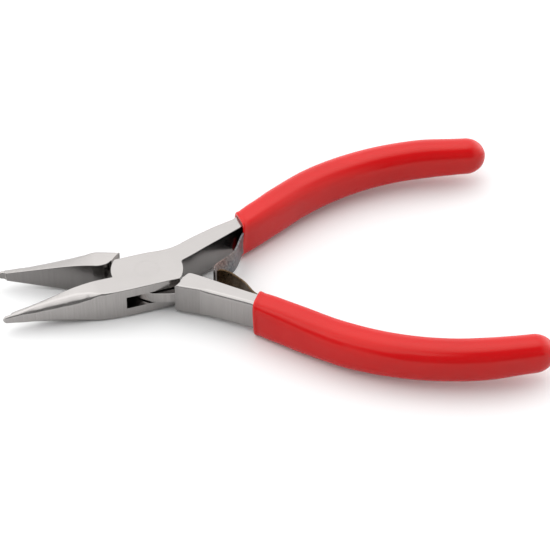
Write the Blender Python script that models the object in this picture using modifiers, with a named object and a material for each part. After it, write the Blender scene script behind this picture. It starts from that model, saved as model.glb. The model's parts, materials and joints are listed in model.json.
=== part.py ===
"""Box-joint chain-nose jewellery pliers with leaf springs and dipped handles.

Each half is drawn closed, in its own plane frame: the pivot is the origin, the
jaw runs along -X on the -Y side of the closing line, and the handle runs along
+X on the +Y side. The tongue half is the same drawing mirrored in Y. Both are
then turned about the pivot to the pose in which the springs hold them open.
Outline sizes are in millimetres and are scaled to metres when a mesh is made.
"""

import math

import bmesh
import bpy
from mathutils import Matrix, Vector

MM = 0.001
GAP = 0.3

# Pose and place
REST_TURN = math.radians(12.0)
PIVOT_X = -24.98
MID_HEIGHT = 4.6

# Joint
BLANK = 3.6
BOX_RADIUS = 7.8
BOX_HALF_WIDTH = 5.4
SHOULDER_RADIUS = BOX_RADIUS + 0.4
SLOT_HALF = 1.5
TONGUE_HALF = SLOT_HALF - GAP
RIVET_RADIUS = 2.0
RIVET_HEAD_RADIUS = 2.6
RIVET_HEAD_DEPTH = 0.8

# Jaw
JAW_TIP = -32.6
JAW_FLAT_END = -15.5
JAW_TIP_HALF = 0.65
JAW_FACE = -0.1
LEAN_START = -13.0
LEAN = 0.045
JAW_OUTER = [(-32.3, -1.0), (-26.5, -2.2), (-21.0, -3.3), (-16.5, -4.25), (-11.0, -5.1)]

# Handle path: straight, arc, straight, measured from the grip's mouth
MOUTH = Vector((23.6, 8.15))
SPREAD = math.radians(25.5)
TUCK = math.radians(-14.0)
FIRST_RUN = 16.0
BEND_RADIUS = 57.5
LAST_RUN = 10.9
GRIP_LENGTH = FIRST_RUN + BEND_RADIUS * (SPREAD - TUCK) + LAST_RUN

# Tang inside the grip: distance along the handle, then half sizes
TANG_END = 62.0
TANG_OUTER = [(0, 1.72), (6, 2.1), (14, 2.5), (24, 2.9), (45, 2.9), (TANG_END, 2.3)]
TANG_INNER = [(0, 1.72), (12.5, 1.72), (24, 2.4), (45, 2.4), (TANG_END, 1.9)]
TANG_END_HALF = 1.6

# Grip skin: distance along the handle, then the offset of each side
GRIP_OUTER = [(0, 2.9), (6, 3.3), (14, 3.85), (24, 4.2), (36, 4.3), (50, 4.2), (62, 3.85)]
GRIP_INNER = [(0, 3.3), (5, 3.9), (13, 3.95), (24, 3.75), (36, 3.8), (50, 3.7), (62, 3.45)]
GRIP_HALF = [(0, MID_HEIGHT), (8, 4.6), (20, 4.5), (36, 4.35), (50, 4.15), (62, 3.75)]
GRIP_SQUARE = [(0, 4.5), (10, 3.6), (22, 2.9), (40, 2.6)]
MOUTH_ALONG = 0.6
MOUTH_SLANT = math.radians(11.0)
MOUTH_SLANT_FADE = 12.0
GRIP_CAP = 4.6
CAVITY_INNER = [(0, 2.72), (4, 3.45), (12.5, 3.45), (18, 3.0), (24, 2.75), (45, 2.75), (63, 2.25)]
CAVITY_GAP = 0.35
CAVITY_END = TANG_END + 0.6
CAVITY_SQUARE = 12.0
CAVITY_STEP = 3.5
RING_POINTS = 28

# Leaf springs
LEAF_THICKNESS = 0.4
LEAF_HALF_WIDTH = 2.8
LEAF_ROOT = [(34.5, 10.88), (30.0, 8.73), (26.4, 7.0), (24.65, 6.12)]
HOOKED_LEAF = [(23.1, 4.5), (20.95, 1.4), (19.4, -0.2), (17.3, -1.45), (15.3, -2.4),
               (14.35, -3.1), (13.95, -3.8), (13.7, -4.7)]
PLAIN_LEAF = [(23.2, 4.9), (21.2, 2.0), (19.5, 0.35), (18.2, -0.8), (16.6, -1.65), (14.9, -1.85)]
PIN_ALONG = 7.0
PIN_RADIUS = 0.9
PIN_HEAD_RADIUS = 1.7
PIN_HEAD = 0.4
PIN_DEPTH = 2.4


def clear_scene():
    for old in list(bpy.data.objects):
        bpy.data.objects.remove(old)


def new_collection(name):
    group = bpy.data.collections.new(name)
    bpy.context.scene.collection.children.link(group)
    return group


def material(name, colour, roughness, metallic):
    made = bpy.data.materials.new(name)
    made.use_nodes = True
    shader = made.node_tree.nodes["Principled BSDF"]
    shader.inputs["Base Color"].default_value = (*colour, 1.0)
    shader.inputs["Roughness"].default_value = roughness
    shader.inputs["Metallic"].default_value = metallic
    return made


def between(stations, along):
    """The value at a distance, read smoothly between stations."""
    if along <= stations[0][0]:
        return stations[0][1]
    for (a, low), (b, high) in zip(stations, stations[1:]):
        if along <= b:
            t = (along - a) / (b - a)
            return low + (high - low) * t * t * (3 - 2 * t)
    return stations[-1][1]


def handle_at(along):
    """Point on the handle's centre line and its direction's angle."""
    arc_length = BEND_RADIUS * (SPREAD - TUCK)
    first = min(along, FIRST_RUN)
    point = MOUTH + first * Vector((math.cos(SPREAD), math.sin(SPREAD)))
    turned = min(max(along - FIRST_RUN, 0.0), arc_length) / BEND_RADIUS
    angle = SPREAD - turned
    point += BEND_RADIUS * Vector((math.sin(SPREAD) - math.sin(angle),
                                   math.cos(angle) - math.cos(SPREAD)))
    last = max(along - FIRST_RUN - arc_length, 0.0)
    point += last * Vector((math.cos(angle), math.sin(angle)))
    return point, angle


def beside_handle(along, offset):
    """A point beside the centre line; a positive offset is towards the other handle."""
    point, angle = handle_at(along)
    return point + offset * Vector((math.sin(angle), -math.cos(angle)))


def arc(radius, start, end, steps):
    """Points on a circle about the pivot, with the angles in degrees."""
    angles = [math.radians(start + (end - start) * i / steps) for i in range(steps + 1)]
    return [(radius * math.cos(a), radius * math.sin(a)) for a in angles]


def mesh_object(name, mesh, group):
    made = bpy.data.objects.new(name, mesh)
    group.objects.link(made)
    return made


def slab(name, outline, half_thickness, side, group):
    """A flat outline with a thickness, as a welded mesh. Side -1 mirrors it in Y."""
    drawing = bpy.data.curves.new(name + "_outline", "CURVE")
    drawing.dimensions = "2D"
    drawing.fill_mode = "BOTH"
    drawing.extrude = half_thickness * MM
    spline = drawing.splines.new("POLY")
    spline.points.add(len(outline) - 1)
    for spot, (x, y) in zip(spline.points, outline):
        spot.co = (x * MM, side * y * MM, 0.0, 1.0)
    spline.use_cyclic_u = True
    return curve_to_mesh(name, drawing, group)


def curve_to_mesh(name, drawing, group):
    guide = bpy.data.objects.new(name + "_guide", drawing)
    bpy.context.scene.collection.objects.link(guide)
    bpy.context.view_layer.update()
    evaluated = guide.evaluated_get(bpy.context.evaluated_depsgraph_get())
    mesh = bpy.data.meshes.new_from_object(evaluated)
    bpy.data.objects.remove(guide)
    shape = bmesh.new()
    shape.from_mesh(mesh)
    bmesh.ops.remove_doubles(shape, verts=shape.verts, dist=1e-6)
    if all(len(e.link_faces) == 2 for e in shape.edges):
        bmesh.ops.recalc_face_normals(shape, faces=shape.faces)
    shape.to_mesh(mesh)
    shape.free()
    mesh.shade_flat()
    mesh.name = name
    return mesh_object(name, mesh, group)


def turned(name, profile, group, steps=32):
    """A turned shape about Z from a profile of (radius, height), top to bottom."""
    mesh = bpy.data.meshes.new(name)
    spots = [(r * MM, 0.0, z * MM) for r, z in profile]
    mesh.from_pydata(spots, [(i, i + 1) for i in range(len(spots) - 1)], [])
    made = mesh_object(name, mesh, group)
    screw = made.modifiers.new("Turn", "SCREW")
    screw.steps = steps
    screw.render_steps = steps
    screw.use_merge_vertices = True
    screw.merge_threshold = 0.00001
    screw.use_smooth_shade = False
    return made


def wedge(name, start, end, above, group):
    """A cutter whose flat face runs from start to end, each (x, z), and lies above or below."""
    run = Vector(end) - Vector(start)
    length = run.length * 1.4
    height = 6.0
    depth = 60.0
    shape = bmesh.new()
    bmesh.ops.create_cube(shape, size=1.0)
    lift = height / 2 if above else -height / 2
    stretch = Matrix.Diagonal((length, depth, height, 1.0))
    bmesh.ops.transform(shape, matrix=Matrix.Translation((length / 2, 0, lift)) @ stretch,
                        verts=shape.verts)
    lean = Matrix.Rotation(-math.atan2(run.y, run.x), 4, "Y")
    place = Matrix.Translation((start[0], 0, start[1]))
    bmesh.ops.transform(shape, matrix=Matrix.Scale(MM, 4) @ place @ lean, verts=shape.verts)
    bmesh.ops.recalc_face_normals(shape, faces=shape.faces)
    mesh = bpy.data.meshes.new(name)
    shape.to_mesh(mesh)
    shape.free()
    return mesh_object(name, mesh, group)


def combine(target, cutter, operation):
    step = target.modifiers.new(cutter.name, "BOOLEAN")
    step.operation = operation
    step.solver = "EXACT"
    step.object = cutter


def hide_cutters(group):
    for cutter in group.objects:
        cutter.hide_render = True
        cutter.display_type = "WIRE"


def jaw_edge(side):
    """From the root of the gripping face round the nose and back. Both jaws lean to one side."""
    nose = [(JAW_TIP + 0.55, JAW_FACE), (JAW_TIP + 0.12, -0.3), (JAW_TIP, -0.6)]
    points = [(LEAN_START, JAW_FACE)] + nose + JAW_OUTER
    return [(x, y - side * LEAN * max(0.0, LEAN_START - x)) for x, y in points]


def tang_side(stations, sign):
    steps = 24
    alongs = [TANG_END * i / steps for i in range(steps + 1)]
    points = []
    for along in alongs:
        spot = beside_handle(along, sign * between(stations, along))
        points.append((spot.x, spot.y))
    return points


def handle_edge(inner_start, outer_end):
    """The shank and tang, out along the inner side and back along the outer side."""
    return inner_start + tang_side(TANG_INNER, 1) + tang_side(TANG_OUTER, -1)[::-1] + outer_end


def box_outline():
    """The slotted half: jaw, box and handle as one flat outline."""
    end = math.degrees(math.asin(BOX_HALF_WIDTH / BOX_RADIUS))
    waist = [(18.0, 8.75), (12.5, 7.2), (10.0, 6.0), (8.0, 5.15), (6.3, 4.8), (4.3, 5.05), (2.0, 5.4)]
    points = jaw_edge(1)
    points += [(-5.5, -BOX_HALF_WIDTH)]
    points += arc(BOX_RADIUS, -end, 0, 9)
    points += handle_edge([(8.4, 0.35)], waist)
    points += arc(BOX_RADIUS, 180 - end, 180, 9)[:-1]
    points += [(-BOX_RADIUS, JAW_FACE)]
    return points


def tongue_jaw_outline():
    shoulder = arc(SHOULDER_RADIUS, 218, 196, 5)
    points = jaw_edge(-1) + [(-10.5, -5.05)]
    points += shoulder + [(-8.45, -1.7), (-9.1, -0.9), (-9.7, JAW_FACE)]
    return points


def tongue_shank_outline():
    shoulder = arc(SHOULDER_RADIUS, 38, 15, 5)
    points = shoulder + [(8.6, 1.4), (9.3, 0.5)]
    points += handle_edge([(14.6, 2.5)], [(12.2, 6.45), (10.0, 5.05)])
    return points


def tongue_outline():
    """The thin web through the slot. It is the same when turned half a turn."""
    half = [(5.5, 5.1), (1.6, 5.3), (-2.6, 3.7), (-6.0, 2.2), (-6.5, 0.7), (-8.3, -1.1), (-9.6, -2.2),
            (-9.0, -4.4)]
    return half + [(-x, -y) for x, y in half]


def slot_outline():
    """Open past the box on both sides, and closed by the jaw's and the handle's roots."""
    half = [(-7.5, 12.0), (-12.0, 12.0), (-12.0, 0.0), (-7.5, -0.1), (-7.4, -1.6), (-6.3, -5.6),
            (-6.3, -12.0)]
    return half + [(-x, -y) for x, y in half]


def shape_blank(blank, cutters):
    """Thins the jaw to its tip, above and below."""
    for sign, above in ((1, True), (-1, False)):
        tip = wedge(f"{blank.name}_jaw_taper_{above}", (JAW_TIP, sign * JAW_TIP_HALF),
                    (JAW_FLAT_END, sign * BLANK), above, cutters)
        combine(blank, tip, "DIFFERENCE")


def thin_tang(blank, cutters):
    for sign, above in ((1, True), (-1, False)):
        tail = wedge(f"{blank.name}_tang_taper_{above}", (MOUTH.x + 0.9, sign * BLANK),
                     (handle_at(TANG_END)[0].x, sign * TANG_END_HALF), above, cutters)
        combine(blank, tail, "DIFFERENCE")


def pin_matrix(side):
    """Turns +Z to point from the tang towards the other handle, at the leaf's rivet."""
    spot, angle = handle_at(PIN_ALONG)
    outward = Vector((math.sin(angle), -side * math.cos(angle), 0.0))
    along = Vector((math.cos(angle), side * math.sin(angle), 0.0))
    across = outward.cross(along)
    turn = Matrix((along, across, outward)).transposed().to_4x4()
    return Matrix.Translation((spot.x * MM, side * spot.y * MM, 0.0)) @ turn


def pin_bore(half, side, cutters):
    inner = between(TANG_INNER, PIN_ALONG)
    profile = [(0, inner + 3.0), (PIN_RADIUS + GAP, inner + 3.0),
               (PIN_RADIUS + GAP, inner - PIN_DEPTH - GAP), (0, inner - PIN_DEPTH - GAP)]
    bore = turned(half.name + "_pin_bore", profile, cutters, 24)
    bore.matrix_world = pin_matrix(side)
    combine(half, bore, "DIFFERENCE")
    return bore


def rivet_profile(extra):
    """A straight rivet with countersunk heads ground flush; extra is the clearance."""
    top = BLANK + (1.0 if extra else 0.0)
    head = RIVET_HEAD_RADIUS + extra
    shank = RIVET_RADIUS + extra
    neck = BLANK - RIVET_HEAD_DEPTH
    upper = [(0, top), (head, top), (head, BLANK - 0.15), (shank, neck)]
    return upper + [(r, -z) for r, z in reversed(upper)]


def box_half(group, cutters):
    half = slab("box_half", box_outline(), BLANK, 1, group)
    shape_blank(half, cutters)
    thin_tang(half, cutters)
    combine(half, slab("tongue_slot", slot_outline(), SLOT_HALF, 1, cutters), "DIFFERENCE")
    combine(half, turned("rivet_seat", rivet_profile(GAP), cutters), "DIFFERENCE")
    pin_bore(half, 1, cutters)
    return half


def tongue_half(group, cutters):
    half = slab("tongue_half", tongue_jaw_outline(), BLANK, -1, group)
    shank = slab("tongue_shank", tongue_shank_outline(), BLANK, -1, cutters)
    web = slab("tongue_web", tongue_outline(), TONGUE_HALF, -1, cutters)
    shape_blank(half, cutters)
    combine(half, web, "UNION")
    combine(half, shank, "UNION")
    thin_tang(half, cutters)
    bore = turned("tongue_bore", [(0, 4.0), (RIVET_RADIUS + GAP, 4.0), (RIVET_RADIUS + GAP, -4.0),
                                  (0, -4.0)], cutters)
    combine(half, bore, "DIFFERENCE")
    pin_bore(half, -1, cutters)
    return half


def grip_ring(along, inner, outer, half_height, square, side):
    """One cross-section of the skin, square to the handle: a squared-off oval."""
    point, angle = handle_at(along)
    across = Vector((math.sin(angle), -math.cos(angle)))
    forward = Vector((math.cos(angle), math.sin(angle)))
    slant = math.tan(MOUTH_SLANT) * max(0.0, 1 - along / MOUTH_SLANT_FADE)
    centre = point + across * (inner - outer) / 2
    half_width = (inner + outer) / 2
    ring = []
    for i in range(RING_POINTS):
        turn = 2 * math.pi * i / RING_POINTS
        c, s = math.cos(turn), math.sin(turn)
        wide = math.copysign(abs(c) ** (2 / square), c) * half_width
        high = math.copysign(abs(s) ** (2 / square), s) * half_height
        offset = wide + (inner - outer) / 2
        spot = centre + across * wide - forward * offset * slant
        ring.append(Vector((spot.x * MM, side * spot.y * MM, high * MM)))
    return ring


def grip_rings(side):
    """Rings from the closed end, along the outside to the mouth, and back up the cavity."""
    rings = []
    cap_steps = 6
    for i in range(1, cap_steps + 1):
        turn = math.pi / 2 * i / cap_steps
        shrink = max(math.sin(turn), 0.05)
        along = GRIP_LENGTH - GRIP_CAP * (1 - math.cos(turn))
        rings.append(skin_ring(along, shrink, 0.0, side))
    body_steps = 20
    body = GRIP_LENGTH - GRIP_CAP - MOUTH_ALONG
    for i in range(1, body_steps):
        rings.append(skin_ring(MOUTH_ALONG + body * (1 - i / body_steps), 1.0, 0.0, side))
    rings.append(skin_ring(MOUTH_ALONG + 0.35, 1.0, 0.0, side))
    rings.append(skin_ring(MOUTH_ALONG, 1.0, 0.25, side))
    cavity_steps = round(CAVITY_END / CAVITY_STEP)
    for i in range(cavity_steps + 1):
        along = MOUTH_ALONG + (CAVITY_END - MOUTH_ALONG) * i / cavity_steps
        outer = between(TANG_OUTER, along) + CAVITY_GAP
        height = BLANK + (TANG_END_HALF - BLANK) * along / TANG_END + CAVITY_GAP
        rings.append(grip_ring(along, between(CAVITY_INNER, along), outer, height, CAVITY_SQUARE, side))
    return rings


def skin_ring(along, shrink, inset, side):
    inner = between(GRIP_INNER, along) * shrink - inset
    outer = between(GRIP_OUTER, along) * shrink - inset
    height = between(GRIP_HALF, along) * shrink - inset
    return grip_ring(along, inner, outer, height, between(GRIP_SQUARE, along), side)


def loft(name, rings, group):
    """A closed skin through rings of equal size, with a flat cap on the first and last."""
    shape = bmesh.new()
    rows = [[shape.verts.new(p) for p in ring] for ring in rings]
    for low, high in zip(rows, rows[1:]):
        for i in range(len(low)):
            j = (i + 1) % len(low)
            shape.faces.new((low[i], low[j], high[j], high[i]))
    shape.faces.new(rows[0])
    shape.faces.new(rows[-1])
    bmesh.ops.recalc_face_normals(shape, faces=shape.faces)
    mesh = bpy.data.meshes.new(name)
    shape.to_mesh(mesh)
    shape.free()
    mesh.shade_smooth()
    mesh.set_sharp_from_angle(angle=math.radians(50))
    return mesh_object(name, mesh, group)


def leaf(name, reach, side, group, cutters):
    """A bent strip of spring steel on edge, with a rivet hole in its root."""
    drawing = bpy.data.curves.new(name + "_path", "CURVE")
    drawing.dimensions = "2D"
    drawing.fill_mode = "NONE"
    drawing.extrude = LEAF_HALF_WIDTH * MM
    drawing.resolution_u = 5
    path = LEAF_ROOT + reach
    spline = drawing.splines.new("BEZIER")
    spline.bezier_points.add(len(path) - 1)
    for spot, (x, y) in zip(spline.bezier_points, path):
        spot.co = (x * MM, side * y * MM, 0.0)
        spot.handle_left_type = "AUTO"
        spot.handle_right_type = "AUTO"
    strip = curve_to_mesh(name, drawing, group)
    solid = strip.modifiers.new("Gauge", "SOLIDIFY")
    solid.thickness = LEAF_THICKNESS * MM
    solid.offset = 0.0
    hole = turned(name + "_hole", [(0, 6.0), (PIN_RADIUS + GAP, 6.0), (PIN_RADIUS + GAP, 0.0), (0, 0.0)],
                  cutters, 24)
    hole.matrix_world = pin_matrix(side)
    combine(strip, hole, "DIFFERENCE")
    return strip, hole


def leaf_pin(name, side, group):
    face = between(TANG_INNER, PIN_ALONG)
    seat = face + GAP + LEAF_THICKNESS + GAP
    profile = [(0, seat + PIN_HEAD), (PIN_HEAD_RADIUS, seat + PIN_HEAD), (PIN_HEAD_RADIUS, seat),
               (PIN_RADIUS, seat), (PIN_RADIUS, face - PIN_DEPTH), (0, face - PIN_DEPTH)]
    pin = turned(name, profile, group, 24)
    pin.matrix_world = pin_matrix(side)
    return pin


def pivot_empty(name, turn):
    empty = bpy.data.objects.new(name, None)
    bpy.context.scene.collection.objects.link(empty)
    empty.location = (PIVOT_X * MM, 0.0, MID_HEIGHT * MM)
    empty.rotation_euler = (0.0, 0.0, turn)
    return empty


def build():
    clear_scene()
    parts = new_collection("chain_nose_pliers")
    cutters = new_collection("cutters")
    steel = material("satin_steel", (0.60, 0.59, 0.58), 0.35, 1.0)
    spring_steel = material("spring_steel", (0.42, 0.37, 0.34), 0.3, 1.0)
    vinyl = material("red_vinyl", (0.75, 0.03, 0.025), 0.25, 0.0)

    box = box_half(parts, cutters)
    box_cutters = list(cutters.objects)
    hooked, hooked_hole = leaf("hooked_leaf_spring", HOOKED_LEAF, 1, parts, cutters)
    rivet = turned("pivot_rivet", rivet_profile(0.0), parts)
    box_pin = leaf_pin("hooked_leaf_rivet", 1, parts)
    box_grip = loft("box_half_grip", grip_rings(1), parts)

    already = list(cutters.objects)
    tongue = tongue_half(parts, cutters)
    tongue_cutters = [c for c in cutters.objects if c not in already]
    plain, plain_hole = leaf("plain_leaf_spring", PLAIN_LEAF, -1, parts, cutters)
    tongue_pin = leaf_pin("plain_leaf_rivet", -1, parts)
    tongue_grip = loft("tongue_half_grip", grip_rings(-1), parts)

    fixed = pivot_empty("box_half_axis", REST_TURN)
    moving = pivot_empty("tongue_half_axis", -REST_TURN)
    for piece in [box, rivet, hooked, hooked_hole, box_pin, box_grip, *box_cutters]:
        piece.parent = fixed
    for piece in [tongue, plain, plain_hole, tongue_pin, tongue_grip, *tongue_cutters]:
        piece.parent = moving

    finishes = [(steel, [box, tongue, rivet]), (spring_steel, [hooked, plain, box_pin, tongue_pin]),
                (vinyl, [box_grip, tongue_grip])]
    for finish, pieces in finishes:
        for piece in pieces:
            piece.data.materials.append(finish)
    hide_cutters(cutters)


build()
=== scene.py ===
import json
import math

import bmesh
import bpy
from mathutils import Matrix, Vector


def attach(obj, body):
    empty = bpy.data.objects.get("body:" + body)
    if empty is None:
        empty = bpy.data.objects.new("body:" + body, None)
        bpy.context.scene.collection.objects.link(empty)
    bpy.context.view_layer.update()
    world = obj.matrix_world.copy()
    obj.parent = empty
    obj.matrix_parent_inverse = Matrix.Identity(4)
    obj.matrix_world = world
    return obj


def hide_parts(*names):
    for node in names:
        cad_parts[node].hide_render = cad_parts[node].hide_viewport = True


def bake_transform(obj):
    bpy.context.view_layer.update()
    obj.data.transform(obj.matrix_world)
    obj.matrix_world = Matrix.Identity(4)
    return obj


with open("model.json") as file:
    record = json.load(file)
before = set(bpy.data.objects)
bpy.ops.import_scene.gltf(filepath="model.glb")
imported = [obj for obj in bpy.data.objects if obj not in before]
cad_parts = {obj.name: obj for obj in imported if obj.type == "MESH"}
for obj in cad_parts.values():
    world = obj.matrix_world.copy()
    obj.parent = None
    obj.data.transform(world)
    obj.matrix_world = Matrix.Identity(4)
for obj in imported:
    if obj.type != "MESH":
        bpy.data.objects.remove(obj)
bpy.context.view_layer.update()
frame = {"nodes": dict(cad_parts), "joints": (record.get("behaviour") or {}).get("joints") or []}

# The pliers are drawn closed, in millimetres, with the pivot as the origin, as in the CAD source
MM = 0.001
PIVOT = Vector(frame["joints"][0]["pos_m"])
REST_TURN = math.radians(12.0)
BOX_SIDE, TONGUE_SIDE = 1, -1

# Steel blanks and the box joint
BLANK = 3.6
BOX_RADIUS = 7.8
BOX_HALF_WIDTH = 5.4
SHOULDER_RADIUS = 8.2
SLOT_HALF = 1.5
TONGUE_HALF = 1.2
RIVET_RADIUS = 2.6
RIVET_HAIRLINE = 0.012
KNUCKLE_CREASE = (11.9, 6.2)
CREASE_REACH = 0.0006

# Rims: how far in and how far down an edge is eased, rolled or broken
EDGE = 0.16
LOWER_ROLL = 0.75
ROLL_WIDTH = 1.2
JAW_ROLL = [(-32.6, 0.28), (-29.5, 0.5), (-25.0, 1.25), (-21.0, 1.6), (-17.0, 1.8), (-14.5, 1.4),
            (-12.0, 0.5), (-9.5, EDGE)]
SHANK_BREAK = (0.8, 1.0)
KNUCKLE_BREAK = (0.4, 0.5)

# Jaws
JAW_TIP = -32.6
JAW_FLAT_END = -15.5
JAW_TIP_HALF = 0.7
TAPER_EASE = 0.3
TAPER_REACH = 4.0
NOSE_ROUND = 0.75
LEAN_START = -13.0
LEAN = 0.045

# Handle path and the tang inside the grip
MOUTH = Vector((23.6, 8.15))
SPREAD = math.radians(25.5)
TUCK = math.radians(-14.0)
FIRST_RUN = 16.0
BEND_RADIUS = 57.5
LAST_RUN = 10.74
GRIP_LENGTH = FIRST_RUN + BEND_RADIUS * (SPREAD - TUCK) + LAST_RUN
TANG_START = MOUTH.x + 1.2
TANG_END = 62.0
TANG_END_HALF = 1.6
TANG_OUTER = [(0, 1.72), (6, 2.1), (14, 2.5), (24, 2.9), (45, 2.9), (TANG_END, 2.3)]
TANG_INNER = [(0, 1.72), (12.5, 1.72), (24, 2.4), (45, 2.4), (TANG_END, 1.9)]

# Grip skin: distance along the handle, then the offset of each side
GRIP_OUTER = [(0, 3.15), (6, 3.45), (14, 3.85), (24, 4.2), (36, 4.3), (50, 4.2), (62, 3.85)]
GRIP_INNER = [(0, 2.9), (5, 3.2), (13, 3.4), (24, 3.65), (36, 3.8), (50, 3.7), (62, 3.45)]
GRIP_HALF = [(0, 4.6), (8, 4.6), (20, 4.5), (36, 4.35), (50, 4.3), (62, 3.95)]
GRIP_SQUARE = [(0, 4.0), (10, 3.3), (22, 2.9), (40, 2.6)]
GRIP_POINTS = 72
GRIP_CAP = 4.6
# The dip line differs: how far each mouth slants across, and runs on with depth on its -Y side
MOUTH_ALONG = 0.6
MOUTH_SLANT_FADE = 12.0
MOUTH_SLANT = {BOX_SIDE: math.radians(26.0), TONGUE_SIDE: math.radians(11.0)}
MOUTH_SKEW = {BOX_SIDE: -0.2, TONGUE_SIDE: 0.045}
# The lip is beaded, and the mouth is hollow behind it, thinner where the leaf comes in
LIP_BEAD = 0.12
LIP_FADE = 7.0
LIP_DEPTH = 1.6
LIP = [(1.2, LIP_BEAD), (0.8, LIP_BEAD * 0.5), (0.45, 0.0), (0.2, 0.05), (0.06, 0.16), (0.0, 0.3),
       (0.02, 0.42)]
LIP_WALL = 0.92
LEAF_SIDE_WALL = 0.5
CAVITY_DEPTH = 9.0
CAVITY_STEPS = (0.12, 0.6, 1.5, 3.0, 5.5, CAVITY_DEPTH)
CAVITY_SQUARE = 12.0

# Leaf springs
LEAF_THICKNESS = 0.4
LEAF_HALF_WIDTH = 2.8
LEAF_EASE = 0.1
LEAF_CROWN = 0.5
LEAF_ROOT = [(34.5, 10.88), (30.0, 8.73), (26.4, 7.0), (24.65, 6.12)]
HOOKED_LEAF = [(23.1, 4.5), (20.95, 1.4), (19.4, -0.2), (17.3, -1.45), (15.3, -2.4),
               (14.35, -3.1), (13.95, -3.8), (13.7, -4.7)]
PLAIN_LEAF = [(23.2, 4.9), (21.2, 2.0), (19.5, 0.35), (18.2, -0.8), (16.6, -1.65), (14.9, -1.85)]

# Steel shades: the tops, finished by grinding; the sides, darker as painted shade; and painted
# shade that darkens the gripping faces, the knuckle and the shanks' inner sides
TOP_STEEL = 0.40
SHADED_SIDE_STEEL = 0.35
GRIPPING_FACE_SHADE = 0.62
KNUCKLE_SHADE = 0.86
INNER_SIDE_SHADE = 0.75

# Camera: a long lens above the table, slightly to the jaws' side
AZIMUTH = math.radians(-8.669)
ELEVATION = math.radians(39.896)
CAMERA_ROLL = math.radians(0.405)
CAMERA_DISTANCE = 0.515239
LENS, SENSOR = 153.86, 36.0
LOOK_AT = PIVOT + Vector((0.02832, 0.00327, -0.0042))

# Two points (x, z) of the table that the pliers touch: the grips' mouths and the jaws' roots
RESTS_ON = ((-0.0050, -0.00012), (-0.0405, 0.00098))
FLOOR_REACH = 4.0

# Light: a tent that is brighter behind, and its sources
FRONT_LIGHT = 0.26
BACK_LIGHT = 1.4
SOURCE_AXIS = (0.0, math.cos(math.radians(68.0)), math.sin(math.radians(68.0)))
SOURCE_LIGHT = 0.9
LEFT_AXIS = (-0.406, -0.341, 0.848)
LEFT_LIGHT = 1.4
SIDE_LIGHT = 1.0
SEEN_LIGHT = 1.1
CARD_DISTANCE = 0.17


# ---------------------------------------------------------------- drawing helpers

def between(stations, along):
    """The value at a distance, read smoothly between stations."""
    if along <= stations[0][0]:
        return stations[0][1]
    for (a, low), (b, high) in zip(stations, stations[1:]):
        if along <= b:
            t = (along - a) / (b - a)
            return low + (high - low) * t * t * (3 - 2 * t)
    return stations[-1][1]


def handle_at(along):
    """Point on the handle's centre line and its direction's angle."""
    arc_length = BEND_RADIUS * (SPREAD - TUCK)
    first = min(along, FIRST_RUN)
    point = MOUTH + first * Vector((math.cos(SPREAD), math.sin(SPREAD)))
    turned = min(max(along - FIRST_RUN, 0.0), arc_length) / BEND_RADIUS
    angle = SPREAD - turned
    point += BEND_RADIUS * Vector((math.sin(SPREAD) - math.sin(angle),
                                   math.cos(angle) - math.cos(SPREAD)))
    last = max(along - FIRST_RUN - arc_length, 0.0)
    point += last * Vector((math.cos(angle), math.sin(angle)))
    return point, angle


def beside_handle(along, offset):
    """A point off the handle's line: offsets above zero are towards the other handle."""
    point, angle = handle_at(along)
    return point + offset * Vector((math.sin(angle), -math.cos(angle)))


def arc(radius, start, end, steps):
    """Points on a circle about the pivot, with the angles in degrees."""
    angles = [math.radians(start + (end - start) * i / steps) for i in range(steps + 1)]
    return [(radius * math.cos(a), radius * math.sin(a)) for a in angles]


def flowing(points, steps=6):
    """A smooth line through the points (Catmull-Rom)."""
    spots = [Vector(p) for p in points]
    ends = [2 * spots[0] - spots[1]] + spots + [2 * spots[-1] - spots[-2]]
    line = []
    for a, b, c, d in zip(ends, ends[1:], ends[2:], ends[3:]):
        for i in range(steps):
            t = i / steps
            line.append(0.5 * (2 * b + (c - a) * t + (2 * a - 5 * b + 4 * c - d) * t * t
                               + (3 * b - a - 3 * c + d) * t ** 3))
    line.append(spots[-1])
    return [tuple(p) for p in line]


def straight(start, end, steps):
    a, b = Vector(start), Vector(end)
    return [tuple(a.lerp(b, i / steps)) for i in range(steps)]


def both_ways(points):
    """The line and the same line turned half round the pivot."""
    return points + [(-x, -y) for x, y in points]


def leaned(points, side):
    """Both jaws lean a little towards the box half's jaw."""
    return [(x, y - side * LEAN * max(0.0, LEAN_START - x)) for x, y in points]


# ---------------------------------------------------------------- meshes

def mesh_piece(name, shape, material, smooth_angle=40.0, creases=()):
    mesh = bpy.data.meshes.new(name)
    shape.to_mesh(mesh)
    shape.free()
    mesh.shade_smooth()
    mesh.set_sharp_from_angle(angle=math.radians(smooth_angle))
    for edge in mesh.edges:
        ends = [mesh.vertices[i].co for i in edge.vertices]
        if any(max(math.dist(end[:2], spot) for end in ends) < CREASE_REACH for spot in creases):
            edge.use_edge_sharp = True
    mesh.materials.append(material)
    piece = bpy.data.objects.new(name, mesh)
    bpy.context.scene.collection.objects.link(piece)
    return piece


def into_place(side):
    """From the closed drawing, in millimetres, to the open pose in metres."""
    turn = Matrix.Rotation(side * REST_TURN, 4, "Z")
    mirror = Matrix.Diagonal((MM, side * MM, MM, 1.0))
    return Matrix.Translation(PIVOT) @ turn @ mirror


def place(shape, side):
    bmesh.ops.transform(shape, matrix=into_place(side), verts=shape.verts)
    if side == TONGUE_SIDE:
        bmesh.ops.reverse_faces(shape, faces=shape.faces)


def inward(outline):
    """The direction that insets each point, scaled so that the sides stay parallel."""
    spots = [Vector(p) for p in outline]
    moves = []
    for i, spot in enumerate(spots):
        before = (spot - spots[i - 1]).normalized()
        after = (spots[(i + 1) % len(spots)] - spot).normalized()
        across = Vector((-before.y - after.y, before.x + after.x)).normalized()
        moves.append(across / max(0.6, across.dot(Vector((-before.y, before.x)))))
    return moves


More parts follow.
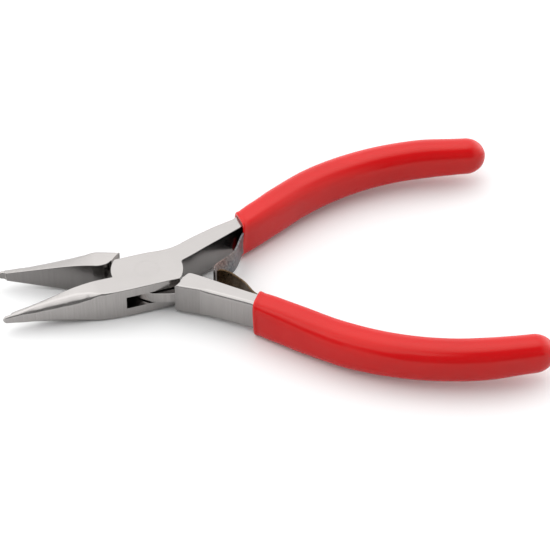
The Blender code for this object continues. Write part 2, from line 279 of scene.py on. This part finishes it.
def thickness_at(x):
    """Half the steel's thickness: it thins along the jaw and inside the grip."""
    if x < JAW_FLAT_END + TAPER_REACH:
        nose = max(1.0 - (x - JAW_TIP) / NOSE_ROUND, 0.0)
        slope = (BLANK - JAW_TIP_HALF) / (JAW_FLAT_END - JAW_TIP)
        drop = slope * (JAW_FLAT_END - max(x, JAW_TIP))
        settled = 0.5 * TAPER_EASE * min(max((x - JAW_FLAT_END) / TAPER_REACH, 0.0), 1.0)
        thinned = 0.5 * (drop + math.sqrt(drop * drop + TAPER_EASE ** 2))
        return (BLANK - thinned + settled) * math.sqrt(max(1.0 - nose * nose, 0.1))
    if x > TANG_START:
        end = handle_at(TANG_END)[0].x
        return BLANK + (TANG_END_HALF - BLANK) * min((x - TANG_START) / (end - TANG_START), 1.0)
    return BLANK


def skinned(shape, rows):
    """Faces between closed rings of vertices, each ring joined to the next."""
    for low, high in zip(rows, rows[1:]):
        for i in range(len(low)):
            j = (i + 1) % len(low)
            shape.faces.new((low[i], low[j], high[j], high[i]))


def plate(outline, half, rim, steps, tapered=True, below=LOWER_ROLL):
    """A flat blank with rounded rims. rim gives the roll's (inset, depth) at a point."""
    moves = inward(outline)
    rims = [rim(x, y) for x, y in outline]
    shape = bmesh.new()
    rings = []
    for sign in (1, -1):
        levels = []
        for k in range(steps + 1):
            turn = math.pi / 2 * k / steps
            ring = []
            for spot, move, (inset, depth) in zip(outline, moves, rims):
                share = 1.0 if sign > 0 else below
                flat = Vector(spot) + move * inset * share * (1 - math.cos(turn))
                height = half - depth * share * (1 - math.sin(turn))
                ring.append(shape.verts.new((flat.x, flat.y, sign * height)))
            levels.append(ring)
        rings.append(levels)
    upper, lower = rings
    skinned(shape, list(reversed(lower)) + upper)
    shape.faces.new(upper[-1])
    shape.faces.new(list(reversed(lower[-1])))
    bmesh.ops.recalc_face_normals(shape, faces=shape.faces)
    if tapered:
        for x in [JAW_TIP + 0.8 * i for i in range(1, 27)] + [TANG_START]:
            everything = shape.verts[:] + shape.edges[:] + shape.faces[:]
            bmesh.ops.bisect_plane(shape, geom=everything, plane_co=(x, 0, 0), plane_no=(1, 0, 0))
        for vert in shape.verts:
            vert.co.z *= thickness_at(vert.co.x) / BLANK
    return shape


def helper(name, shape):
    """An object used only to cut or join, removed when that is done."""
    mesh = bpy.data.meshes.new(name)
    shape.to_mesh(mesh)
    shape.free()
    made = bpy.data.objects.new(name, mesh)
    bpy.context.scene.collection.objects.link(made)
    return made


def combined(base, steps):
    """base with each (helper, operation) applied, as a bmesh."""
    for tool, operation in steps:
        step = base.modifiers.new(tool.name, "BOOLEAN")
        step.operation = operation
        step.solver = "EXACT"
        step.object = tool
    bpy.context.view_layer.update()
    evaluated = base.evaluated_get(bpy.context.evaluated_depsgraph_get())
    result = bpy.data.meshes.new_from_object(evaluated)
    shape = bmesh.new()
    shape.from_mesh(result)
    bmesh.ops.remove_doubles(shape, verts=shape.verts, dist=0.002)
    bmesh.ops.dissolve_degenerate(shape, edges=shape.edges, dist=0.001)
    for made in [base] + [tool for tool, _ in steps]:
        bpy.data.objects.remove(made)
    return shape


def cylinder(radius, half, segments=96):
    shape = bmesh.new()
    bmesh.ops.create_cone(shape, cap_ends=True, segments=segments, radius1=radius, radius2=radius,
                          depth=2 * half)
    return shape


def flat_normals(piece):
    """Large flat faces keep their own shading beside the small rolled rims."""
    weigh = piece.modifiers.new("Flat faces", "WEIGHTED_NORMAL")
    weigh.mode = "FACE_AREA"
    weigh.weight = 100
    weigh.keep_sharp = True


# ---------------------------------------------------------------- steel halves

def jaw_rim(x, y):
    """The jaw's outer side is rolled over; its gripping face and the box are only eased."""
    if x > -9.0:
        return EDGE, EDGE
    outside = min(max((-0.3 - y) / 0.7, 0.0), 1.0) if x > -31.0 else 1.0
    roll = EDGE + (between(JAW_ROLL, x) - EDGE) * outside
    share = thickness_at(x) / BLANK
    return roll * (1.0 + (ROLL_WIDTH - 1.0) * outside), min(roll / share, 0.9 * BLANK)


def shank_rim(x, y):
    """The near shank's outer edge is broken, less so at its knuckle; its inner edge is eased."""
    if y > 5.0 + 0.3 * (x - 12.0):
        return SHANK_BREAK if x > 12.0 else KNUCKLE_BREAK
    return EDGE, EDGE


def jaw_line(side):
    """From the root along the gripping face, round the nose and back along the outer side."""
    face = straight((LEAN_START, -0.1), (-30.5, -0.1), 10)
    nose = flowing([(-30.5, -0.1), (-30.75, -0.4), (-31.3, -0.47), (-32.1, -0.46), (-32.55, -0.68),
                    (-32.55, -1.0), (-32.2, -1.24)], 5)[:-1]
    outer = flowing([(-32.2, -1.24), (-31.4, -1.36), (-29.5, -1.65), (-26.5, -2.2), (-21.0, -3.3),
                     (-16.5, -4.25), (-11.0, -5.1)], 7)
    return leaned(face + nose + outer, side)


def tang_line(stations, sign, steps=30):
    """One side of the tang, as offsets from the handle's line."""
    alongs = [TANG_END * i / steps for i in range(steps + 1)]
    return [tuple(beside_handle(along, sign * between(stations, along))) for along in alongs]


def both_tang_lines():
    """Round the tang: out along its inner side and back along its outer side."""
    return tang_line(TANG_INNER, 1)[1:] + tang_line(TANG_OUTER, -1)[::-1][:-1]


def paint_side_shade(shape, side):
    """Painted shade on side faces: the gripping faces, the knuckle and the shanks' inner sides are
    darkened.
    """
    shade_marks = shape.faces.layers.float.new("painted_shade")
    for face in shape.faces:
        spot, normal = face.calc_center_median(), face.normal
        face[shade_marks] = 1.0
        if spot.x < -8.0 and normal.y > 0.9:
            face[shade_marks] = GRIPPING_FACE_SHADE
        elif side == TONGUE_SIDE and normal.y > 0.8 and 6.0 < spot.x < 12.0:
            face[shade_marks] = KNUCKLE_SHADE
        elif spot.x > 8.0 and normal.y < -0.5:
            face[shade_marks] = INNER_SIDE_SHADE


def rivet_hole():
    """Cuts the hole, a hairline wider than the rivet."""
    return helper("rivet_hole", cylinder(RIVET_RADIUS + RIVET_HAIRLINE, BLANK + 1.0))


def box_half():
    """The half with the near jaw, the slotted box and the far shank."""
    end = math.degrees(math.asin(BOX_HALF_WIDTH / BOX_RADIUS))
    outline = jaw_line(BOX_SIDE)
    outline += [(-8.5, -5.3), (-5.5, -BOX_HALF_WIDTH)]
    outline += straight((-2.0, -BOX_HALF_WIDTH), (4.0, -BOX_HALF_WIDTH), 3)
    outline += arc(BOX_RADIUS, -end, 0, 16)
    outline += flowing([(8.05, 0.22), (8.5, 0.4), (11.0, 1.35), (14.5, 2.85), (18.5, 4.45),
                        (22.5, 6.1)], 5)
    outline += both_tang_lines()
    outline += flowing([(22.9, 9.75), (18.0, 8.65), (12.5, 6.95), (9.6, 5.85), (7.2, 5.15),
                        (4.6, 5.05), (2.0, 5.3)], 6)
    outline += straight((0.0, BOX_HALF_WIDTH), (-5.0, BOX_HALF_WIDTH), 3)
    outline += arc(BOX_RADIUS, 180 - end, 180, 14)[:-1]
    outline += [(-BOX_RADIUS, -0.1)]
    base = helper("box_blank", plate(outline, BLANK, jaw_rim, steps=6))
    half = [(-7.5, 12.0), (-12.0, 12.0), (-12.0, 0.0), (-7.5, -0.1), (-7.4, -1.6), (-6.3, -5.6),
            (-6.3, -12.0)]
    slot = plate(both_ways(half), SLOT_HALF, lambda x, y: (0.01, 0.01), 1, False)
    return combined(base, [(helper("slot", slot), "DIFFERENCE"), (rivet_hole(), "DIFFERENCE")])


def tongue_half():
    """The half with the far jaw, the thin tongue through the slot and the near shank."""
    jaw = jaw_line(TONGUE_SIDE) + [(-10.5, -5.05)]
    jaw += arc(SHOULDER_RADIUS, 218, 196, 14)
    jaw += flowing([(-8.15, -2.1), (-8.45, -1.55), (-8.95, -1.0), (-9.7, -0.55), (-10.6, -0.25),
                    (-11.6, -0.1)], 4)
    jaw_blank = helper("tongue_jaw", plate(jaw, BLANK, jaw_rim, steps=6))
    shank = arc(SHOULDER_RADIUS, 38, 15, 12)
    shank += flowing([(8.2, 1.9), (8.55, 1.35), (9.4, 0.72), (11.5, 1.45), (14.6, 2.75),
                      (18.5, 4.45), (22.5, 6.1)], 4)
    shank += both_tang_lines()
    shank += straight((22.9, 9.75), KNUCKLE_CREASE, 8)
    shank += flowing([KNUCKLE_CREASE, (10.4, 5.92), (8.6, 5.6), (7.0, 5.3)], 4)[:-1]
    shank_blank = helper("tongue_shank", plate(shank, BLANK, shank_rim, steps=6, below=1.0))
    web = [(5.5, 5.1), (1.6, 5.3), (-2.6, 3.7), (-6.0, 2.2), (-6.5, 0.7), (-8.3, -1.1),
           (-9.6, -2.2), (-9.0, -4.4)]
    web_blank = plate(both_ways(web), TONGUE_HALF, lambda x, y: (0.06, 0.06), 2, False)
    return combined(jaw_blank, [(helper("web", web_blank), "UNION"), (shank_blank, "UNION"),
                                (rivet_hole(), "DIFFERENCE")])


def rivet():
    """The rivet, finished flush by grinding: only a hairline ring shows."""
    return cylinder(RIVET_RADIUS, BLANK - 0.001)


# ---------------------------------------------------------------- grips

def grip_ring(along, inset, side, wall=0.0):
    """One cross-section of the skin: a squared-off oval. wall > 0 gives the inside face."""
    point, angle = handle_at(along)
    across = Vector((math.sin(angle), -math.cos(angle)))
    forward = Vector((math.cos(angle), math.sin(angle)))
    fade = max(0.0, 1 - along / MOUTH_SLANT_FADE)
    slant = math.tan(MOUTH_SLANT[side])
    station = min(along, GRIP_LENGTH)
    inner = between(GRIP_INNER, station) - inset - min(wall, LEAF_SIDE_WALL)
    outer = between(GRIP_OUTER, station) - inset - wall
    half_height = between(GRIP_HALF, station) - inset - wall
    square = CAVITY_SQUARE if wall else between(GRIP_SQUARE, station)
    ring = []
    for i in range(GRIP_POINTS):
        turn = 2 * math.pi * i / GRIP_POINTS
        c, s = math.cos(turn), math.sin(turn)
        wide = math.copysign(abs(c) ** (2 / square), c) * (inner + outer) / 2
        high = math.copysign(abs(s) ** (2 / square), s) * half_height
        offset = wide + (inner - outer) / 2
        share = max(side * offset / inner, 0.0)
        skew = MOUTH_SKEW[side] * (half_height - high) * share
        spot = point + across * offset + forward * fade * (skew - offset * slant)
        ring.append((spot.x, spot.y, high))
    return ring


def grip_middle(along):
    return beside_handle(along, 0.5 * (between(GRIP_INNER, along) - between(GRIP_OUTER, along)))


def closed_end(i, steps, side):
    """One ring of the rounded end, counted from its pole."""
    turn = math.pi / 2 * i / steps
    along = GRIP_LENGTH - GRIP_CAP * (1 - math.cos(turn))
    centre = grip_middle(along)
    share = max(math.sin(turn), 0.0)
    return [(centre.x + (x - centre.x) * share, centre.y + (y - centre.y) * share, z * share)
            for x, y, z in grip_ring(along, 0.0, side)]


def grip(side):
    """The dipped skin: a rounded end, a smooth body, a beaded lip and a hollow mouth."""
    cap_steps, body_steps = 14, 90
    rings = [closed_end(i, cap_steps, side) for i in range(1, cap_steps + 1)]
    start = MOUTH_ALONG + LIP_DEPTH
    end = GRIP_LENGTH - GRIP_CAP
    for i in range(1, body_steps + 1):
        along = end + (start - end) * i / body_steps
        bead = LIP_BEAD * max(0.0, 1 - (along - start) / LIP_FADE) ** 2
        rings.append(grip_ring(along, bead, side))
    rings += [grip_ring(MOUTH_ALONG + along, inset, side) for along, inset in LIP]
    rings += [grip_ring(MOUTH_ALONG + along, 0.0, side, LIP_WALL) for along in CAVITY_STEPS]
    shape = bmesh.new()
    tip = shape.verts.new((*grip_middle(GRIP_LENGTH), 0.0))
    rows = [[shape.verts.new(p) for p in ring] for ring in rings]
    for i in range(GRIP_POINTS):
        shape.faces.new((tip, rows[0][i], rows[0][(i + 1) % GRIP_POINTS]))
    skinned(shape, rows)
    shape.faces.new(rows[-1])
    bmesh.ops.recalc_face_normals(shape, faces=shape.faces)
    return shape


# ---------------------------------------------------------------- leaf springs

def leaf(reach):
    """A bent strip of spring steel on edge, with eased long edges and a crowned end."""
    spots = [Vector(p) for p in flowing(LEAF_ROOT + reach, 8)]
    shape = bmesh.new()
    rows = []
    half = LEAF_THICKNESS / 2
    eased_half = half - LEAF_EASE
    last = len(spots) - 1
    for i, spot in enumerate(spots):
        along = (spots[min(i + 1, last)] - spots[max(i - 1, 0)]).normalized()
        across = Vector((-along.y, along.x))
        width = LEAF_HALF_WIDTH - LEAF_CROWN * max(1 - (last - i) / 4, 0.0) ** 2
        eased_width = width - LEAF_EASE
        quarter = [(half, eased_width), (eased_half, width)]
        upper = quarter + [(-a, z) for a, z in reversed(quarter)]
        section = upper + [(-a, -z) for a, z in upper]
        rows.append([shape.verts.new((*(spot + across * a), z)) for a, z in section])
    skinned(shape, rows)
    shape.faces.new(rows[0])
    shape.faces.new(rows[-1])
    bmesh.ops.recalc_face_normals(shape, faces=shape.faces)
    return shape


# ---------------------------------------------------------------- materials

def new_material(name):
    made = bpy.data.materials.new(name)
    made.use_nodes = True
    tree = made.node_tree
    shader = tree.nodes["Principled BSDF"]
    return made, tree, shader


def node(tree, kind, inputs=None, **settings):
    made = tree.nodes.new(kind)
    for key, value in settings.items():
        setattr(made, key, value)
    for key, value in (inputs or {}).items():
        if hasattr(value, "is_output"):
            tree.links.new(value, made.inputs[key])
        else:
            made.inputs[key].default_value = value
    return made


def ramp(tree, factor, stops):
    made = node(tree, "ShaderNodeValToRGB", {"Fac": factor})
    elements = made.color_ramp.elements
    elements[0].position, elements[0].color = stops[0][0], stops[0][1]
    elements[1].position, elements[1].color = stops[-1][0], stops[-1][1]
    for position, colour in stops[1:-1]:
        elements.new(position).color = colour
    return made.outputs["Color"]


def grey(value, tint=(1.0, 1.0, 1.0)):
    return (value * tint[0], value * tint[1], value * tint[2], 1.0)


def mapped(tree, value, across, to, easing="LINEAR"):
    limits = {"From Min": across[0], "From Max": across[1], "To Min": to[0], "To Max": to[1]}
    return node(tree, "ShaderNodeMapRange", {"Value": value, **limits},
                interpolation_type=easing).outputs[0]


def eased(tree, value, across, to):
    return mapped(tree, value, across, to, "SMOOTHSTEP")


def tinted(value):
    """Bare steel, very slightly warm."""
    return grey(value, (1.0, 0.955, 0.93))


def mixed(tree, factor, first, second, blend="MIX"):
    return node(tree, "ShaderNodeMix", {0: factor, 6: first, 7: second}, data_type="RGBA",
                blend_type=blend).outputs[2]


def shared(tree, factor, first, second):
    """One number mixed with another."""
    return node(tree, "ShaderNodeMix", {0: factor, 2: first, 3: second}).outputs[0]


def noise(tree, stretch, scale, detail, turn=0.0):
    """Noise drawn out by stretch, in object space, with 1 unit = 1 m."""
    coords = node(tree, "ShaderNodeTexCoord").outputs["Object"]
    drawn_out = node(tree, "ShaderNodeMapping",
                     {"Vector": coords, "Scale": stretch, "Rotation": (0, 0, turn)})
    return node(tree, "ShaderNodeTexNoise",
                {"Vector": drawn_out.outputs["Vector"], "Scale": scale, "Detail": detail,
                 "Roughness": 0.6}).outputs["Fac"]


def upward(tree):
    """How far a face looks up: 1 on top, 0 on a side."""
    normal = node(tree, "ShaderNodeNewGeometry").outputs["Normal"]
    return node(tree, "ShaderNodeSeparateXYZ", {"Vector": normal}).outputs["Z"]


def finished(tree, shader, colour, grain, roughness, relief, strength, distance):
    """Colour, a roughness that follows the grain, and a bump of the relief."""
    tree.links.new(colour, shader.inputs["Base Color"])
    tree.links.new(mapped(tree, grain, (0.3, 0.7), roughness), shader.inputs["Roughness"])
    bump = node(tree, "ShaderNodeBump",
                {"Strength": strength, "Distance": distance, "Height": relief})
    tree.links.new(bump.outputs["Normal"], shader.inputs["Normal"])


def satin_steel(name, turn):
    """Satin tops with faint lengthwise lines; upright grinding lines on the sides, whose colour is
    darker than the tops as painted shade.
    """
    made, tree, shader = new_material(name)
    lengthwise = noise(tree, (0.05, 1.0, 1.0), 8000.0, 3.0, turn)
    upright = noise(tree, (1.0, 1.0, 0.04), 3000.0, 4.0)
    clouds = noise(tree, (1.0, 1.0, 1.0), 130.0, 2.0)
    on_top = mapped(tree, upward(tree), (0.35, 0.85), (0.0, 1.0))
    # painted shade on the gripping faces, the knuckle and the shanks' inner sides, read from each
    # face
    painted_shade = node(tree, "ShaderNodeAttribute", attribute_name="painted_shade").outputs["Fac"]
    top = ramp(tree, lengthwise, [(0.3, tinted(TOP_STEEL * 0.98)), (0.7, tinted(TOP_STEEL * 1.02))])
    # the sides are darker than the tops: painted shade
    side = ramp(tree, upright, [(0.3, tinted(SHADED_SIDE_STEEL * 0.92)), (0.7, tinted(SHADED_SIDE_STEEL * 1.06))])
    steel = mixed(tree, on_top, mixed(tree, 1.0, side, painted_shade, "MULTIPLY"), top)
    blotch = ramp(tree, clouds, [(0.3, grey(0.965)), (0.7, grey(1.0))])
    lines = shared(tree, on_top, upright, lengthwise)
    shader.inputs["Metallic"].default_value = 1.0
    finished(tree, shader, mixed(tree, 1.0, steel, blotch, "MULTIPLY"), lines, (0.18, 0.23),
             lines, 0.06, 0.00002)
    return made


# The plain leaf's brown oxide, kept darker than the hooked leaf's grey as painted shade where it
# sits between the near handle and the other leaf
SHADED_SPRING_BROWN = [(0.35, (0.085, 0.05, 0.025, 1.0)), (0.5, (0.12, 0.08, 0.045, 1.0)),
                (0.7, (0.10, 0.085, 0.07, 1.0))]
SPRING_GREY = [(0.35, (0.20, 0.15, 0.135, 1.0)), (0.5, (0.17, 0.17, 0.172, 1.0)),
               (0.7, (0.12, 0.12, 0.14, 1.0))]


def spring_steel(name, oxide):
    """Tempered strip: brown to blue-grey oxide with fine speckle along the leaf; the brown palette
    is also darker as painted shade.
    """
    made, tree, shader = new_material(name)
    drift = noise(tree, (1.0, 1.0, 0.6), 110.0, 2.0)
    speckle = noise(tree, (1.0, 1.0, 0.6), 2600.0, 4.0)
    fleck = ramp(tree, speckle, [(0.38, grey(0.5)), (0.62, grey(1.1))])
    colour = mixed(tree, 1.0, ramp(tree, drift, oxide), fleck, "MULTIPLY")
    shader.inputs["Metallic"].default_value = 1.0
    finished(tree, shader, colour, speckle, (0.22, 0.4), speckle, 0.2, 0.00003)
    return made


def red_vinyl():
    """Dipped vinyl: a deep glossy red with faint runs and slight haze, darkened on faces that look
    sideways or down as painted shade.
    """
    made, tree, shader = new_material("red_vinyl_dip")
    runs = noise(tree, (0.5, 1.0, 1.0), 90.0, 2.0)
    dimples = noise(tree, (1.0, 1.0, 1.0), 700.0, 3.0)
    body = ramp(tree, runs, [(0.3, (0.53, 0.003, 0.005, 1.0)), (0.7, (0.59, 0.004, 0.006, 1.0))])
    # darker on faces that look sideways or down: painted shade
    depth = ramp(tree, upward(tree), [(0.0, grey(0.84)), (0.55, grey(1.0))])
    shader.inputs["IOR"].default_value = 1.36
    shader.inputs["Specular Tint"].default_value = (1.0, 0.96, 0.84, 1.0)
    shader.inputs["Subsurface Weight"].default_value = 0.12
    shader.inputs["Subsurface Radius"].default_value = (0.0015, 0.0003, 0.0002)
    shader.inputs["Subsurface Scale"].default_value = 1.0
    finished(tree, shader, mixed(tree, 1.0, body, depth, "MULTIPLY"), dimples, (0.09, 0.14),
             shared(tree, 0.2, runs, dimples), 0.12, 0.0002)
    return made


def matt(name, shade, roughness):
    """Plain matt stock for the table and the cards."""
    made, _, shader = new_material(name)
    shader.inputs["Base Color"].default_value = grey(shade)
    shader.inputs["Roughness"].default_value = roughness
    return made, shader


# ---------------------------------------------------------------- camera, floor and light

def look_from_photo_side():
    back = Vector((math.sin(AZIMUTH) * math.cos(ELEVATION),
                   -math.cos(AZIMUTH) * math.cos(ELEVATION), math.sin(ELEVATION)))
    right = Vector((math.cos(AZIMUTH), math.sin(AZIMUTH), 0.0))
    up = back.cross(right)
    side = right * math.cos(CAMERA_ROLL) + up * math.sin(CAMERA_ROLL)
    top = -right * math.sin(CAMERA_ROLL) + up * math.cos(CAMERA_ROLL)
    view = bpy.data.cameras.new("camera")
    view.sensor_width = SENSOR
    view.lens = LENS
    view.clip_start = 0.01
    view.clip_end = 20.0
    camera = bpy.data.objects.new("camera", view)
    bpy.context.scene.collection.objects.link(camera)
    turn = Matrix((side, top, back)).transposed().to_4x4()
    camera.matrix_world = Matrix.Translation(LOOK_AT + back * CAMERA_DISTANCE) @ turn
    bpy.context.scene.camera = camera


def staged_plane(name, corners, material):
    shape = bmesh.new()
    shape.faces.new([shape.verts.new(c) for c in corners])
    return mesh_piece(name, shape, material)


def upright_card(name, left, right, low, high, material):
    """A card standing in front of the pliers, seen only by its reflection."""
    corners = [(left, low), (right, low), (right, high), (left, high)]
    card = staged_plane(name, [(x, -CARD_DISTANCE, z) for x, z in corners], material)
    card.visible_camera = card.visible_diffuse = card.visible_shadow = False
    return card


def resting_height(x):
    """The pliers rest on the grips' mouths and on the jaws' roots, so the table tips a little."""
    (mouth_x, mouth_z), (jaw_x, jaw_z) = RESTS_ON
    return mouth_z + (x - mouth_x) * (jaw_z - mouth_z) / (jaw_x - mouth_x)


def floor_and_flag():
    white, shader = matt("floor_white", 0.86, 0.7)
    shader.inputs["Specular IOR Level"].default_value = 0.2
    corners = [(x * FLOOR_REACH, y * FLOOR_REACH) for x, y in ((-1, -1), (1, -1), (1, 1), (-1, 1))]
    floor = staged_plane("floor", [(x, y, resting_height(x)) for x, y in corners], white)
    dark, _ = matt("flag_grey", 0.22, 1.0)
    flag = upright_card("flag", -0.045, 0.17, 0.006, 0.19, dark)
    low_flag = upright_card("low_flag", -0.6, -0.14, 0.0, 0.13, dark)


def studio_light():
    """A pale tent, brighter behind, with a source overhead, one at the left and both sides lit."""
    world = bpy.data.worlds.new("tent")
    bpy.context.scene.world = world
    world.use_nodes = True
    tree = world.node_tree
    direction = node(tree, "ShaderNodeTexCoord").outputs["Generated"]
    split = node(tree, "ShaderNodeSeparateXYZ", {"Vector": direction}).outputs

    def source(axis, across, light):
        toward = node(tree, "ShaderNodeVectorMath", {0: direction, 1: axis},
                      operation="DOT_PRODUCT").outputs["Value"]
        return eased(tree, toward, across, (0.0, light))

    sideways = node(tree, "ShaderNodeMath", {0: split["X"]}, operation="ABSOLUTE").outputs[0]
    light = eased(tree, split["Y"], (-0.35, 0.5), (FRONT_LIGHT, BACK_LIGHT))
    for part in (source(SOURCE_AXIS, (0.80, 0.98), SOURCE_LIGHT),
                 source(LEFT_AXIS, (0.86, 0.96), LEFT_LIGHT),
                 eased(tree, sideways, (0.4, 0.85), (0.0, SIDE_LIGHT))):
        light = node(tree, "ShaderNodeMath", {0: light, 1: part}, operation="ADD").outputs[0]
    seen = node(tree, "ShaderNodeLightPath").outputs["Is Camera Ray"]
    background = tree.nodes["Background"]
    background.inputs["Color"].default_value = grey(1.0)
    tree.links.new(shared(tree, seen, light, SEEN_LIGHT), background.inputs["Strength"])


# ---------------------------------------------------------------- assembly

look_from_photo_side()
floor_and_flag()
studio_light()
bpy.context.scene.view_settings.view_transform = "Standard"

steel_box = satin_steel("satin_steel_box", -REST_TURN)
steel_tongue = satin_steel("satin_steel_tongue", REST_TURN)
vinyl = red_vinyl()

BODIES = {BOX_SIDE: "box_side", TONGUE_SIDE: "tongue_side"}

# What each piece is made from, on which side, in which material, and what it replaces
STEEL = [
    ("box_half_fine", box_half, BOX_SIDE, steel_box, "box_half"),
    ("tongue_half_fine", tongue_half, TONGUE_SIDE, steel_tongue, "tongue_half"),
    ("pivot_rivet_fine", rivet, BOX_SIDE, steel_box, "pivot_rivet"),
]
for name, make, side, material, cad_node in STEEL:
    shape = make()
    paint_side_shade(shape, side)
    place(shape, side)
    crease = into_place(side) @ Vector((*KNUCKLE_CREASE, 0.0))
    piece = mesh_piece(name, shape, material, creases=[crease[:2]] if make is tongue_half else [])
    flat_normals(piece)
    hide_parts(cad_node)
    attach(piece, BODIES[side])

GRIPS = [("box_half_grip_fine", BOX_SIDE, "box_half_grip"),
         ("tongue_half_grip_fine", TONGUE_SIDE, "tongue_half_grip")]
for name, side, cad_node in GRIPS:
    shape = grip(side)
    place(shape, side)
    piece = mesh_piece(name, shape, vinyl)
    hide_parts(cad_node)
    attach(piece, BODIES[side])

# Each leaf: its name, its points, its side, its material and what it replaces; the leaves stay
# where they are drawn, attached to neither half
LEAVES = [
    ("hooked_leaf_fine", HOOKED_LEAF, BOX_SIDE, spring_steel("spring_grey", SPRING_GREY),
     "hooked_leaf_spring"),
    ("plain_leaf_fine", PLAIN_LEAF, TONGUE_SIDE, spring_steel("spring_brown_shaded", SHADED_SPRING_BROWN),
     "plain_leaf_spring"),
]
for name, reach, side, material, cad_node in LEAVES:
    shape = leaf(reach)
    place(shape, side)
    piece = mesh_piece(name, shape, material, smooth_angle=30.0)
    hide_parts(cad_node)
    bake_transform(piece)

hidden_steel = spring_steel("spring_rivet", SPRING_GREY)
for cad_node in ("hooked_leaf_rivet", "plain_leaf_rivet"):
    for slot in frame["nodes"][cad_node].material_slots:
        slot.material = hidden_steel
